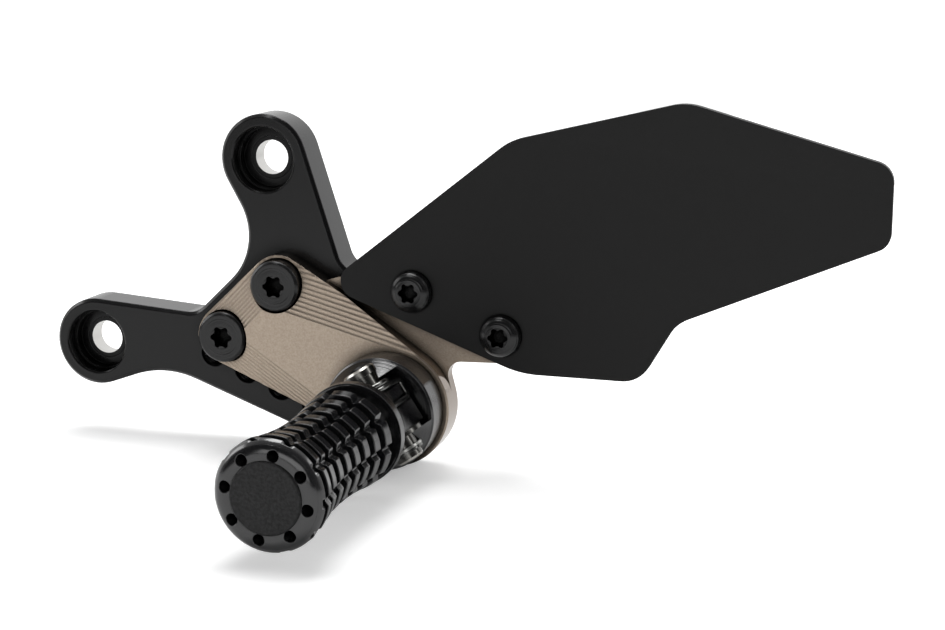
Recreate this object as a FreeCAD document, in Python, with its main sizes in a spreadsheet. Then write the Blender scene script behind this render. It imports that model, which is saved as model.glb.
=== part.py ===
import FreeCAD, Part
import Sketcher
import math
import os

os.makedirs("parts", exist_ok=True)
doc = FreeCAD.newDocument("rear_footrest")
size = doc.addObject("Spreadsheet::Sheet", "size")
vec = FreeCAD.Vector

# Distances named out are heights above the bearing plane on the motorcycle frame,
# measured towards the rider. Across and up are measured from the lower frame bolt.
values = {
    # bracket and its sleeves
    "bolt_across": 47.2, "bolt_up": 48.4, "bolt_bore": 8.5,
    "flange_thick": 1.0, "flange_wide": 14.0, "sleeve_wide": 10.5, "fit_gap": 0.02,
    "bracket_thick": 10.0, "lobe_wide": 22.2, "bracket_edge": 0.8,
    "sink_wide": 16.0, "sink_deep": 3.5, "step_wide": 14.8, "step_deep": 6.0, "sink_edge": 0.36,
    "tap_wide": 6.8, "tap_pitch": 9.69, "tap_tilt": -22.6, "tap_count": 4, "tap_wall": 4.2,
    "row_step": 8.4, "row_tilt": 46.5, "under_wide": 48.0, "under_tilt": -58.4,
    "bay_wide": 31.2, "bay_tilt": 223.0, "bay_back": 1.2, "bay_drop": 14.5,
    "hollow_wide": 12.0, "hollow_back": 7.6, "hollow_rise": 19.9, "tangent_run": 0.8,
    # carrier plate
    "low_across": 38.6, "low_up": 5.2, "high_across": 52.7, "high_up": 18.6,
    "carrier_thick": 8.0, "corner_wide": 14.4, "boss_wide": 29.8, "carrier_edge": 0.4,
    "peg_across": 82.0, "peg_up": -9.2, "tab_thick": 3.5, "tab_wide": 14.6,
    "seat_wide": 13.2, "screw_bore": 8.5, "web_wide": 15.6, "web_tilt": 209.2,
    "notch_wide": 6.8, "notch_tilt": 24.8, "web_run": 0.1, "notch_run": 0.3,
    "crest_across": 69.2, "crest_up": 15.2, "crest_round": 2.0,
    "throat_across": 65.6, "throat_up": 15.2, "throat_round": 5.0,
    "slope": 15.5, "rear_pitch": 1.15, "front_pitch": 0.92, "cusp": 0.12,
    "rear_tilt": 75.0, "rear_edge": 14.1, "low_tilt": -124.0, "low_edge": 9.3,
    "left_tilt": 135.6, "left_edge": 26.5, "cutter_rows": 18, "row_long": 200.0,
    "low_long": 58.0, "low_slide": 40.0,
    # carrier screws
    "head_wide": 12.5, "head_high": 4.4, "head_proud": 0.3, "screw_wide": 8.0, "core_gap": 0.04,
    "screw_long": 14.0, "socket_wide": 5.6, "socket_deep": 2.4, "head_edge": 0.6,
    # heel guard and its screws
    "guard_thick": 2.5, "bend": 8.0, "bend_radius": 14.0, "leaf_front": 90.0, "leaf_rear": 40.0,
    "bend_across": 132.6, "bend_up": 54.2, "bend_tilt": -7.4,
    "near_ahead": 7.8, "near_above": 11.57, "guard_spacing": 23.92, "guard_tilt": -23.1,
    "guard_bore": 6.6, "button_wide": 10.2, "button_high": 3.3, "button_screw": 6.0,
    "button_socket": 4.9, "button_deep": 1.9, "nut_core": 5.0, "nut_flats": 10.0, "nut_high": 5.0,
    "nut_proud": 1.0, "washer_wide": 12.0, "washer_thick": 1.2,
    # peg mount
    "hinge_tilt": 33.0, "mount_wide": 27.4, "mount_disc": 8.0, "mount_edge": 0.4,
    "nose_wide": 21.0, "nose_out": 33.0, "tip_wide": 17.0, "tip_out": 39.0,
    "spigot_wide": 16.0, "spigot_long": 2.0, "pin_offset": 4.1, "pin_out": 33.0,
    "pin_wide": 6.8, "ear_wide": 12.4, "slot_low": 7.2, "slot_high": 7.6, "slot_foot": 11.0,
    "pocket_wide": 24.8,
    "stop_reach": 9.7, "ear_reach": 9.6, "spot_wide": 8.8,
    "sunk_wide": 14.4, "sunk_rim": 0.2, "mount_screw_long": 11.4, "hex_flats": 5.0, "hex_deep": 2.6,
    "dowel_wide": 3.0, "dowel_long": 5.6, "dowel_offset": 10.4,
    # hinge
    "run_gap": 0.05, "pin_low": 12.6, "pin_head_wide": 8.0, "pin_head": 2.0, "pin_edge": 0.5,
    "pin_washer": 0.6, "clip_thick": 0.7, "clip_wide": 8.4, "clip_core": 5.6, "clip_play": 0.05,
    "tongue_low": 6.1, "tongue_high": 4.0, "tongue_top": 8.6, "tongue_foot": 6.4,
    "tongue_arc": 9.4, "foot_arc": 10.7, "stop_near": 1.0, "stop_far": 4.6,
    "shim_thick": 1.0, "shim_wide": 12.4, "wire": 1.2, "coil_wide": 9.2, "coil_turns": 1.5,
    "coil_start": 5.0, "coil_pitch": 1.22, "cross_drop": 7.2, "leg_reach": 7.8, "leg_side": 0.3,
    "groove_wide": 2.0, "groove_deep": 0.6, "short_leg": 2.0, "wire_bend": 1.3,
    "flange_start": 41.3, "joint_wide": 24.0, "joint_edge": 1.6, "core_wide": 14.0, "core_long": 13.0,
    # peg
    "peg_start": 45.3, "peg_wide": 24.6, "peg_long": 50.0, "dome_long": 3.8, "dome_flat": 16.6,
    "dome_bulge": 0.9, "neck_wide": 19.0, "neck_long": 5.4, "foot_wide": 23.4, "waist_wide": 20.8,
    "ring_first": 8.15, "ring_pitch": 5.55, "ring_count": 6, "ring_gap": 2.85, "ring_floor": 17.2,
    "tip_first": 41.45, "tip_pitch": 4.3, "tip_count": 2, "tip_gap": 1.9, "tip_floor": 21.4,
    "channel_wide": 1.9, "channel_deep": 1.0, "channel_end": 21.6, "channel_count": 10,
    "channel_tilt": -36.0,
    "hole_wide": 2.6, "hole_deep": 5.0, "hole_ring": 18.0, "hole_count": 8, "hole_tilt": 1.0,
    "bore_wide": 13.5, "grip_bore": 8.5, "grip_seat": 32.0, "grip_head_wide": 13.0,
    "grip_head": 8.0, "grip_screw_long": 30.0, "plug_wide": 15.6, "plug_seat": 2.0,
    "plug_proud": 0.5, "plug_stem": 3.0, "plug_edge": 0.3,
}
for row, (name, number) in enumerate(values.items(), start=1):
    size.set("A%d" % row, name)
    size.set("B%d" % row, str(number))
    size.setAlias("B%d" % row, name)
doc.recompute()


def read(name):
    return float(size.get(name))


def bind(thing, **fields):
    for field, text in fields.items():
        thing.setExpression(field, text)


# Bodies lie with local z towards the rider, local x and y in the plane of the plates.
def new_body(name, across="0", up="0", out="0", tilt="0", lean="0"):
    body = doc.addObject("PartDesign::Body", name)
    body.Label = name
    bind(body, Placement="create(<<placement>>; create(<<vector>>; %s; -(%s); %s);"
         " create(<<rotation>>; create(<<vector>>; 1; 0; 0); 90)"
         " * create(<<rotation>>; create(<<vector>>; 0; 0; 1); %s)"
         " * create(<<rotation>>; create(<<vector>>; 1; 0; 0); %s))"
         % (across, out, up, tilt, lean))
    return body


def on_axis(name):
    # a body on the peg's axis, local x pointing the way the peg folds
    return new_body(name, "size.peg_across", "size.peg_up", tilt="size.hinge_tilt")


def on_pin(name):
    # a body on the hinge pin, local z along the pin and local y towards the rider
    return new_body(name, "size.peg_across + size.pin_offset * cos(size.hinge_tilt * 1 deg)",
                    "size.peg_up + size.pin_offset * sin(size.hinge_tilt * 1 deg)",
                    "size.pin_out", "size.hinge_tilt", "90")


def attach(body, name, role, offset):
    sketch = body.newObject("Sketcher::SketchObject", name)
    plane = [item for item in body.Origin.OriginFeatures if item.Role == role][0]
    sketch.AttachmentSupport = [(plane, "")]
    sketch.MapMode = "FlatFace"
    bind(sketch, AttachmentOffset=offset)
    return sketch


def flat_sketch(body, name, height="0"):
    return attach(body, name, "XY_Plane", "create(<<placement>>; create(<<vector>>; 0; 0; %s);"
                  " create(<<rotation>>; 0; 0; 0))" % height)


def side_sketch(body, name, across="0", up="0", spin="0"):
    # sketch x points along the angle spin in the plane, sketch y along local z
    return attach(body, name, "XZ_Plane", "create(<<placement>>;"
                  " create(<<vector>>; %s; 0; -(%s));"
                  " create(<<rotation>>; create(<<vector>>; 0; 1; 0); %s))" % (across, up, spin))


def circle(sketch, wide, across="0", up="0"):
    at = sketch.addGeometry(Part.Circle(vec(1, 1, 0), vec(0, 0, 1), 1.0))
    ties = (("Diameter", (at,), wide), ("DistanceX", (-1, 1, at, 3), across),
            ("DistanceY", (-1, 1, at, 3), up))
    for kind, ends, text in ties:
        where = sketch.addConstraint(Sketcher.Constraint(kind, *ends, 1.0))
        sketch.setExpression("Constraints[%d]" % where, text)
    return sketch


def chain(sketch, parts):
    first = sketch.addGeometry(parts)[0]
    for step in range(len(parts)):
        after = (step + 1) % len(parts)
        ends = [(sketch.getPoint(first + step, one).distanceToPoint(
            sketch.getPoint(first + after, two)), one, two) for one in (1, 2) for two in (1, 2)]
        gap, one, two = min(ends)
        sketch.addConstraint(Sketcher.Constraint("Coincident", first + step, one,
                                                 first + after, two))
    return sketch


def belt(pulleys):
    # a closed line drawn anticlockwise round circles, a radius below zero hollows inwards
    count = len(pulleys)
    arrive = [None] * count
    leave = [None] * count
    for at, (x, y, r) in enumerate(pulleys):
        after = (at + 1) % count
        far_x, far_y, far_r = pulleys[after]
        reach = math.hypot(far_x - x, far_y - y)
        side = math.atan2(far_y - y, far_x - x) - math.acos((r - far_r) / reach)
        outward = vec(math.cos(side), math.sin(side), 0)
        leave[at] = vec(x, y, 0) + outward * r
        arrive[after] = vec(far_x, far_y, 0) + outward * far_r
    parts = []
    for at, (x, y, r) in enumerate(pulleys):
        centre = vec(x, y, 0)
        start = math.atan2(arrive[at].y - y, arrive[at].x - x)
        stop = math.atan2(leave[at].y - y, leave[at].x - x)
        sweep = (stop - start) % (2 * math.pi) if r > 0 else -((start - stop) % (2 * math.pi))
        middle = centre + vec(math.cos(start + sweep / 2), math.sin(start + sweep / 2), 0) * abs(r)
        parts.append(Part.Arc(arrive[at], middle, leave[at]))
        parts.append(Part.LineSegment(leave[at], arrive[(at + 1) % count]))
    return parts


def rounded(corners):
    # a polygon given as x, y and the radius at each corner
    count = len(corners)
    marks = []
    for at, (x, y, radius) in enumerate(corners):
        here = vec(x, y, 0)
        back = (vec(*corners[at - 1][:2], 0) - here).normalize()
        ahead = (vec(*corners[(at + 1) % count][:2], 0) - here).normalize()
        half = back.getAngle(ahead) / 2
        reach = radius / math.tan(half)
        inset = (back + ahead).normalize() * (radius / math.sin(half) - radius)
        marks.append((here + back * reach, here + inset, here + ahead * reach, radius))
    parts = []
    for at, (start, middle, stop, radius) in enumerate(marks):
        if radius > 0:
            parts.append(Part.Arc(start, middle, stop))
        parts.append(Part.LineSegment(stop, marks[(at + 1) % count][0]))
    return parts


def polygon(*points):
    return rounded([(x, y, 0) for x, y in points])


def pad(body, sketch, long, both=False, down=False):
    made = body.newObject("PartDesign::Pad", "pad_" + sketch.Name)
    made.Profile = sketch
    made.Midplane = both
    made.Reversed = down
    bind(made, Length=long)
    return made


def pocket(body, sketch, deep, both=False, upward=False):
    made = body.newObject("PartDesign::Pocket", "pocket_" + sketch.Name)
    made.Profile = sketch
    made.Midplane = both
    made.Reversed = upward
    bind(made, Length=deep)
    return made


def drill(body, name, wide, across="0", up="0", low="-1", deep="100"):
    # a round hole cut upwards from the height low
    return pocket(body, circle(flat_sketch(body, name, low), wide, across, up), deep, upward=True)


def lathe(body, name, points, across="0", up="0", cut=False, corners=None):
    # points are radius and height about an axis along local z
    sketch = side_sketch(body, name, across, up)
    chain(sketch, corners or polygon(*points))
    made = body.newObject("PartDesign::Groove" if cut else "PartDesign::Revolution", "turn_" + name)
    made.Profile = sketch
    made.ReferenceAxis = (sketch, ["V_Axis"])
    made.Angle = 360
    return made


def role_axis(body, role):
    return ([item for item in body.Origin.OriginFeatures if item.Role == role][0], [""])


def around(body, feature, count, name):
    made = body.newObject("PartDesign::PolarPattern", name)
    made.Originals = [feature]
    made.Axis = role_axis(body, "Z_Axis")
    made.Angle = 360
    bind(made, Occurrences=count)
    body.Tip = made
    return made


def along(body, feature, long, count, name):
    made = body.newObject("PartDesign::LinearPattern", name)
    made.Originals = [feature]
    made.Direction = role_axis(body, "Z_Axis")
    bind(made, Length=long, Occurrences=count)
    body.Tip = made
    return made


def bevel(body, feature, amount, pick):
    doc.recompute()
    names = ["Edge%d" % at for at, edge in enumerate(feature.Shape.Edges, start=1) if pick(edge)]
    made = body.newObject("PartDesign::Chamfer", "bevel_" + feature.Name)
    made.Base = (feature, names)
    bind(made, Size=amount)
    return made


def level(edge, height):
    return abs(edge.BoundBox.ZMin - height) < 1e-4 and abs(edge.BoundBox.ZMax - height) < 1e-4


def polar(radius, angle):
    return vec(radius * math.cos(math.radians(angle)), radius * math.sin(math.radians(angle)), 0)


def six_lobes(sketch, wide):
    # six round lobes joined by six round hollows
    reach = wide / 2
    shoulder = 0.86 * reach
    parts = []
    for step in range(0, 360, 60):
        parts.append(Part.Arc(polar(shoulder, step - 16), polar(reach, step), polar(shoulder, step + 16)))
        parts.append(Part.Arc(polar(shoulder, step + 16), polar(0.76 * reach, step + 30),
                              polar(shoulder, step + 44)))
    return chain(sketch, parts)


def hexagon(sketch, flats):
    tips = [polar(flats / math.sqrt(3), step) for step in range(0, 360, 60)]
    return chain(sketch, polygon(*[(tip.x, tip.y) for tip in tips]))


def group(name, bodies):
    made = doc.addObject("Part::Compound", name)
    made.Label = name
    made.Links = bodies
    return made


# Positions shared by the plates
low = (read("low_across"), read("low_up"))
high = (read("high_across"), read("high_up"))
peg = (read("peg_across"), read("peg_up"))
tap_step = polar(read("tap_pitch"), read("tap_tilt"))
row_step = polar(read("row_step"), read("row_tilt"))
last = read("tap_count") - 1
toe = (high[0] + last * tap_step.x, high[1] + last * tap_step.y)
near = (toe[0] + read("near_ahead"), toe[1] + read("near_above"))
guard_step = polar(read("guard_spacing"), read("guard_tilt"))
far = (near[0] + guard_step.x, near[1] + guard_step.y)
near_across = "size.high_across + (size.tap_count - 1) * size.tap_pitch * cos(size.tap_tilt * 1 deg)" \
    " + size.near_ahead"
near_up = "size.high_up + (size.tap_count - 1) * size.tap_pitch * sin(size.tap_tilt * 1 deg)" \
    " + size.near_above"
guard_spots = {
    "near": (near_across, near_up),
    "far": (near_across + " + size.guard_spacing * cos(size.guard_tilt * 1 deg)",
            near_up + " + size.guard_spacing * sin(size.guard_tilt * 1 deg)"),
}
carrier_back = read("flange_thick") + read("bracket_thick")
carrier_front = carrier_back + read("carrier_thick")
print("sheet ready")

# Bracket
bracket = new_body("base_plate")
lobe = read("lobe_wide") / 2
tap_edge = read("tap_wide") / 2 + read("tap_wall")
heel = (low[0] - row_step.x + last * tap_step.x, low[1] - row_step.y + last * tap_step.y)
under = read("under_wide") / 2
bay = read("bay_wide") / 2
hollow = read("hollow_wide") / 2
run = read("tangent_run")
under_at = polar(lobe + under + run, read("under_tilt"))
bay_at = vec(read("bolt_across"), read("bolt_up"), 0) + polar(lobe + bay + run, read("bay_tilt"))
outline = flat_sketch(bracket, "bracket_outline", "size.flange_thick")
chain(outline, belt([
    (0, 0, lobe),
    (under_at.x, under_at.y, -under),
    (*heel, tap_edge),
    (*toe, tap_edge),
    (toe[0] - read("hollow_back"), toe[1] + read("hollow_rise"), -hollow),
    (read("bolt_across"), read("bolt_up"), lobe),
    (bay_at.x, bay_at.y, -bay),
    (bay_at.x - read("bay_back"), bay_at.y - read("bay_drop"), -hollow),
]))
slab = pad(bracket, outline, "size.bracket_thick")
bevel(bracket, slab, "size.bracket_edge", lambda edge: level(edge, carrier_back))
front = "size.flange_thick + size.bracket_thick"
frame_bolts = {"low": ("0", "0"), "high": ("size.bolt_across", "size.bolt_up")}
for side, (across, up) in frame_bolts.items():
    for name in ("sink", "step"):
        sketch = circle(flat_sketch(bracket, "%s_%s" % (side, name), front), "size.%s_wide" % name,
                        across, up)
        pocket(bracket, sketch, "size.%s_deep" % name)
    opened = drill(bracket, side + "_bore", "size.sleeve_wide", across, up)
rim = math.pi * read("sink_wide")
bevel(bracket, opened, "size.sink_edge",
      lambda edge: level(edge, carrier_back) and abs(edge.Length - rim) < 1e-3)
for side in ("low", "high"):
    for back in (0, 1):
        for step in range(int(read("tap_count"))):
            across = "size.%s_across + %d * size.tap_pitch * cos(size.tap_tilt * 1 deg)" \
                " - %d * size.row_step * cos(size.row_tilt * 1 deg)" % (side, step, back)
            up = "size.%s_up + %d * size.tap_pitch * sin(size.tap_tilt * 1 deg)" \
                " - %d * size.row_step * sin(size.row_tilt * 1 deg)" % (side, step, back)
            drill(bracket, "tap_%s_%d_%d" % (side, back, step), "size.tap_wide", across, up)
doc.recompute()
print("bracket", bracket.Shape.isValid(), round(bracket.Shape.Volume))

# Sleeves in the bracket
sleeves = []
for side, (across, up) in frame_bolts.items():
    sleeve = new_body(side + "_sleeve", across, up)
    hole = read("bolt_bore") / 2
    wall = read("sleeve_wide") / 2 - read("fit_gap")
    brim = read("flange_wide") / 2
    top = carrier_back - read("step_deep")
    lathe(sleeve, side + "_sleeve_wall", [(hole, 0), (brim, 0), (brim, read("flange_thick")),
                                          (wall, read("flange_thick")), (wall, top), (hole, top)])
    sleeves.append(sleeve)
sleeve_pair = group("frame_sleeves", sleeves)

# Carrier plate with its tab
carrier = new_body("carrier_plate")
corner = read("corner_wide") / 2
boss = read("boss_wide") / 2
web = read("web_wide") / 2
web_at = vec(*peg, 0) + polar(boss + web + read("web_run"), read("web_tilt"))
plan = flat_sketch(carrier, "carrier_outline", front)
chain(plan, belt([
    (*low, corner),
    (web_at.x, web_at.y, -web),
    (*peg, boss),
    (read("crest_across"), read("crest_up"), read("crest_round")),
    (*high, corner),
]))
slab = pad(carrier, plan, "size.carrier_thick")
bevel(carrier, slab, "size.carrier_edge", lambda edge: level(edge, carrier_front))


def facet(name, tilt, distance, slope, pitch, across, up, long):
    # cutter rows running downhill from a line at the given distance from a point
    drop = vec(math.cos(math.radians(slope)), -math.sin(math.radians(slope)), 0) * pitch
    sag = vec(drop.y, -drop.x, 0).normalize() * read("cusp")
    mark = vec(distance, carrier_front, 0)
    parts = []
    rows = int(read("cutter_rows"))
    for step in range(rows):
        start = mark + drop * step
        parts.append(Part.Arc(start, start + drop * 0.5 + sag, start + drop))
    end = mark + drop * rows
    parts.append(Part.LineSegment(end, vec(end.x, carrier_front + 1, 0)))
    parts.append(Part.LineSegment(vec(end.x, carrier_front + 1, 0), vec(mark.x, carrier_front + 1, 0)))
    parts.append(Part.LineSegment(vec(mark.x, carrier_front + 1, 0), mark))
    sketch = side_sketch(carrier, name, across, up, tilt)
    chain(sketch, parts)
    return pocket(carrier, sketch, long, both=True)


slope = read("slope")
facet("rear_facet", "size.rear_tilt", read("rear_edge"), slope, read("rear_pitch"),
      "size.peg_across", "size.peg_up", "size.row_long")
facet("left_facet", "size.left_tilt", -read("left_edge"), slope, read("front_pitch"),
      "0", "0", "size.row_long")
facet("low_facet", "size.low_tilt", read("low_edge"), slope, read("front_pitch"),
      "size.peg_across - size.low_slide * cos((size.low_tilt + 90) * 1 deg)",
      "size.peg_up - size.low_slide * sin((size.low_tilt + 90) * 1 deg)", "size.low_long")
tab = flat_sketch(carrier, "tab_outline", front)
ear = read("tab_wide") / 2
notch = read("notch_wide") / 2
notch_at = vec(*peg, 0) + polar(boss + notch + read("notch_run"), read("notch_tilt"))
chain(tab, belt([
    (*peg, boss),
    (notch_at.x, notch_at.y, -notch),
    (*far, ear),
    (*near, ear),
    (read("throat_across"), read("throat_up"), read("throat_round")),
]))
pad(carrier, tab, "size.tab_thick")
for side in ("low", "high"):
    spot = ("size.%s_across" % side, "size.%s_up" % side)
    drill(carrier, side + "_screw_bore", "size.screw_bore", *spot)
    drill(carrier, side + "_seat", "size.seat_wide", *spot,
          front + " + size.carrier_thick + size.head_proud - size.head_high")
for side, spot in guard_spots.items():
    drill(carrier, side + "_tab_bore", "size.guard_bore", *spot)
spigot_floor = front + " + size.carrier_thick - size.spigot_long"
axis = ("size.peg_across", "size.peg_up")
drill(carrier, "spigot_well", "size.spigot_wide + 2 * size.fit_gap", *axis, spigot_floor)
sunk = read("sunk_wide") / 2 + read("fit_gap")
rim_top = carrier_back + read("sunk_rim")
clear = read("screw_bore") / 2
lathe(carrier, "sunk_seat", [(0, carrier_back), (sunk, carrier_back), (sunk, rim_top),
                             (clear, rim_top + sunk - clear), (clear, carrier_front), (0, carrier_front)],
      *axis, cut=True)
drill(carrier, "dowel_hole", "size.dowel_wide + 2 * size.fit_gap",
      "size.peg_across - size.dowel_offset * cos(size.hinge_tilt * 1 deg)",
      "size.peg_up - size.dowel_offset * sin(size.hinge_tilt * 1 deg)",
      front + " + size.carrier_thick - size.dowel_long / 2")
doc.recompute()
print("carrier", carrier.Shape.isValid(), round(carrier.Shape.Volume))

# Carrier screws
screws = []
head = read("head_wide") / 2
shank = read("screw_wide") / 2
core = read("tap_wide") / 2 - read("core_gap")
head_top = carrier_front + read("head_proud")
head_low = head_top - read("head_high")
edge = read("head_edge")
for side in ("low", "high"):
    screw = new_body(side + "_carrier_screw", "size.%s_across" % side, "size.%s_up" % side)
    foot = head_low - read("screw_long")
    lathe(screw, side + "_screw_side", [
        (0, foot), (core - edge, foot), (core, foot + edge), (core, carrier_back),
        (shank, carrier_back), (shank, head_low), (head, head_low), (head, head_top - edge),
        (head - edge, head_top), (0, head_top)])
    socket = flat_sketch(screw, side + "_socket",
                         front + " + size.carrier_thick + size.head_proud")
    six_lobes(socket, read("socket_wide"))
    pocket(screw, socket, "size.socket_deep")
    screws.append(screw)
carrier_screws = group("carrier_screws", screws)

# Heel guard, a folded sheet trimmed to its outline
guard = new_body("heel_guard")
guard_back = carrier_back + read("tab_thick")
inner = read("bend_radius")
outer = inner + read("guard_thick")
fold = read("bend")
fan = vec(0, guard_back - inner, 0)
leaf = vec(math.cos(math.radians(fold)), -math.sin(math.radians(fold)), 0) * read("leaf_rear")
section = side_sketch(guard, "guard_section", "size.bend_across", "size.bend_up",
                      "size.bend_tilt + 90")
sheet_start = vec(-read("leaf_front"), guard_back, 0)
sheet_up = vec(0, read("guard_thick"), 0)
inner_end = fan + polar(inner, 90 - fold)
outer_end = fan + polar(outer, 90 - fold)
chain(section, [
    Part.LineSegment(sheet_start, vec(0, guard_back, 0)),
    Part.Arc(vec(0, guard_back, 0), fan + polar(inner, 90 - fold / 2), inner_end),
    Part.LineSegment(inner_end, inner_end + leaf),
    Part.LineSegment(inner_end + leaf, outer_end + leaf),
    Part.LineSegment(outer_end + leaf, outer_end),
    Part.Arc(outer_end, fan + polar(outer, 90 - fold / 2), fan + vec(0, outer, 0)),
    Part.LineSegment(fan + vec(0, outer, 0), sheet_start + sheet_up),
    Part.LineSegment(sheet_start + sheet_up, sheet_start),
])
pad(guard, section, "300", both=True)
trim = flat_sketch(guard, "guard_outline")
corners = [
    (-22.3, 0.3, 4.2),
    (26.7, -18.35, 25.0),
    (55.2, -18.5, 7.2),
    (63.6, -4.1, 9.0),
    (110.6, 16.0, 4.1),
    (110.6, 33.4, 4.8),
    (64.3, 46.3, 12.8),
    (24.0, 36.7, 13.0),
]
chain(trim, rounded([(near[0] + x, near[1] + y, r) for x, y, r in corners]))
chain(trim, polygon((-100, -150), (350, -150), (350, 200), (-100, 200)))
pocket(guard, trim, "60", upward=True)
for side, spot in guard_spots.items():
    drill(guard, side + "_guard_bore", "size.guard_bore", *spot)
doc.recompute()
print("guard", guard.Shape.isValid(), round(guard.Shape.Volume), len(guard.Shape.Solids))

# Screws, washers and nuts of the heel guard
guard_front = guard_back + read("guard_thick")
buttons = []
rings = []
nuts = []
dome = read("button_wide") / 2
stem = read("button_screw") / 2
nut_core = read("nut_core") / 2
washer_low = carrier_back - read("washer_thick")
nut_low = washer_low - read("nut_high")
for side, spot in guard_spots.items():
    button = new_body(side + "_guard_screw", *spot)
    foot = nut_low - read("nut_proud")
    flat = 0.52 * dome
    top = guard_front + read("button_high")
    lip = guard_front + 0.25 * read("button_high")
    thread = nut_core - read("core_gap")
    parts = [Part.LineSegment(vec(*one, 0), vec(*two, 0)) for one, two in [
        ((0, foot), (thread, foot)), ((thread, foot), (thread, washer_low)),
        ((thread, washer_low), (stem, washer_low)), ((stem, washer_low), (stem, guard_front)),
        ((stem, guard_front), (dome, guard_front)), ((dome, guard_front), (dome, lip)),
        ((flat, top), (0, top)), ((0, top), (0, foot))]]
    parts.insert(6, Part.Arc(vec(dome, lip, 0), vec(0.86 * dome, lip + 0.62 * (top - lip), 0),
                             vec(flat, top, 0)))
    lathe(button, side + "_button_side", [], corners=parts)
    socket = flat_sketch(button, side + "_button_socket",
                         "size.flange_thick + size.bracket_thick + size.tab_thick"
                         " + size.guard_thick + size.button_high")
    six_lobes(socket, read("button_socket"))
    pocket(button, socket, "size.button_deep")
    buttons.append(button)
    ring = new_body(side + "_guard_washer", *spot)
    hole = read("guard_bore") / 2
    brim = read("washer_wide") / 2
    lathe(ring, side + "_washer_side", [(hole, washer_low), (brim, washer_low),
                                        (brim, carrier_back), (hole, carrier_back)])
    rings.append(ring)
    nut = new_body(side + "_guard_nut", *spot, "0")
    six = flat_sketch(nut, side + "_nut_six", "size.flange_thick + size.bracket_thick"
                      " - size.washer_thick - size.nut_high")
    hexagon(six, read("nut_flats"))
    pad(nut, six, "size.nut_high")
    drill(nut, side + "_nut_core", "size.nut_core")
    nuts.append(nut)
guard_screws = group("guard_screws", buttons)
guard_washers = group("guard_washers", rings)
guard_nuts = group("guard_nuts", nuts)

# Peg mount
mount = on_axis("peg_mount")
rim = read("mount_wide") / 2
edge = read("mount_edge")
spigot = read("spigot_wide") / 2
disc_top = carrier_front + read("mount_disc")
lathe(mount, "mount_side", [
    (0, carrier_front - read("spigot_long")), (spigot, carrier_front - read("spigot_long")),
    (spigot, carrier_front), (rim - edge, carrier_front), (rim, carrier_front + edge),
    (rim, disc_top - edge), (rim - edge, disc_top), (read("nose_wide") / 2, read("nose_out")),
    (read("tip_wide") / 2, read("tip_out") + 1), (0, read("tip_out") + 1)])
pin_x = read("pin_offset")
pin_z = read("pin_out")
ear = read("ear_wide") / 2
crown = side_sketch(mount, "ear_crown")
left_foot = vec(-rim, disc_top, 0)
reach = math.hypot(pin_x - left_foot.x, pin_z - left_foot.y)
rise = math.atan2(pin_z - left_foot.y, pin_x - left_foot.x) + math.asin(ear / reach)
left_touch = vec(pin_x, pin_z, 0) + polar(ear, math.degrees(rise) + 90)
right_touch = vec(pin_x + ear, pin_z, 0)
ceiling = read("tip_out") + 5
chain(crown, [
    Part.LineSegment(left_foot, left_touch),
    Part.Arc(left_touch, vec(pin_x, pin_z, 0) + polar(ear, 0.5 * (math.degrees(rise) + 90)), right_touch),
    Part.LineSegment(right_touch, vec(rim, disc_top, 0)),
    Part.LineSegment(vec(rim, disc_top, 0), vec(rim + 5, disc_top, 0)),
    Part.LineSegment(vec(rim + 5, disc_top, 0), vec(rim + 5, ceiling, 0)),
    Part.LineSegment(vec(rim + 5, ceiling, 0), vec(-rim - 5, ceiling, 0)),
    Part.LineSegment(vec(-rim - 5, ceiling, 0), vec(-rim - 5, disc_top, 0)),
    Part.LineSegment(vec(-rim - 5, disc_top, 0), left_foot),
])
pocket(mount, crown, "80", both=True)
stop = read("stop_reach")
pivot = vec(pin_x, pin_z, 0)
wall_low = -read("slot_low")
wall_high = read("slot_high")
wall_left = pin_x - read("slot_foot")
round_wall = read("pocket_wide") / 2
low_end = vec(math.sqrt(round_wall ** 2 - wall_low ** 2), wall_low, 0)
high_end = vec(math.sqrt(round_wall ** 2 - wall_high ** 2), wall_high, 0)
cave = flat_sketch(mount, "pocket", "size.pin_out - size.stop_reach")
chain(cave, [
    Part.LineSegment(vec(wall_left, wall_low, 0), low_end),
    Part.Arc(low_end, vec(round_wall, 0, 0), high_end),
    Part.LineSegment(high_end, vec(wall_left, wall_high, 0)),
    Part.LineSegment(vec(wall_left, wall_high, 0), vec(wall_left, wall_low, 0)),
])
pocket(mount, cave, "20", upward=True)
slot = flat_sketch(mount, "slot", front + " + size.carrier_thick + size.mount_disc")
chain(slot, polygon((wall_left, wall_low), (rim + 5, wall_low), (rim + 5, wall_high),
                    (wall_left, wall_high)))
pocket(mount, slot, "20", upward=True)
for side, start in (("low", "-20"), ("high", "20")):
    spot = circle(side_sketch(mount, side + "_spot", up=start), "size.spot_wide",
                  "size.pin_offset", "size.pin_out")
    pocket(mount, spot, "20 - size.ear_reach", upward=side == "high")
bore = circle(side_sketch(mount, "pin_bore"), "size.pin_wide + 2 * size.fit_gap",
              "size.pin_offset", "size.pin_out")
pocket(mount, bore, "60", both=True)
drill(mount, "mount_tap", "size.tap_wide", low=spigot_floor + " - 1", deep="20")
drill(mount, "mount_dowel_hole", "size.dowel_wide + 2 * size.fit_gap", "-size.dowel_offset", "0",
      front + " + size.carrier_thick - 1", "1 + size.dowel_long / 2")
doc.recompute()
print("mount", mount.Shape.isValid(), round(mount.Shape.Volume), len(mount.Shape.Solids))

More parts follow.
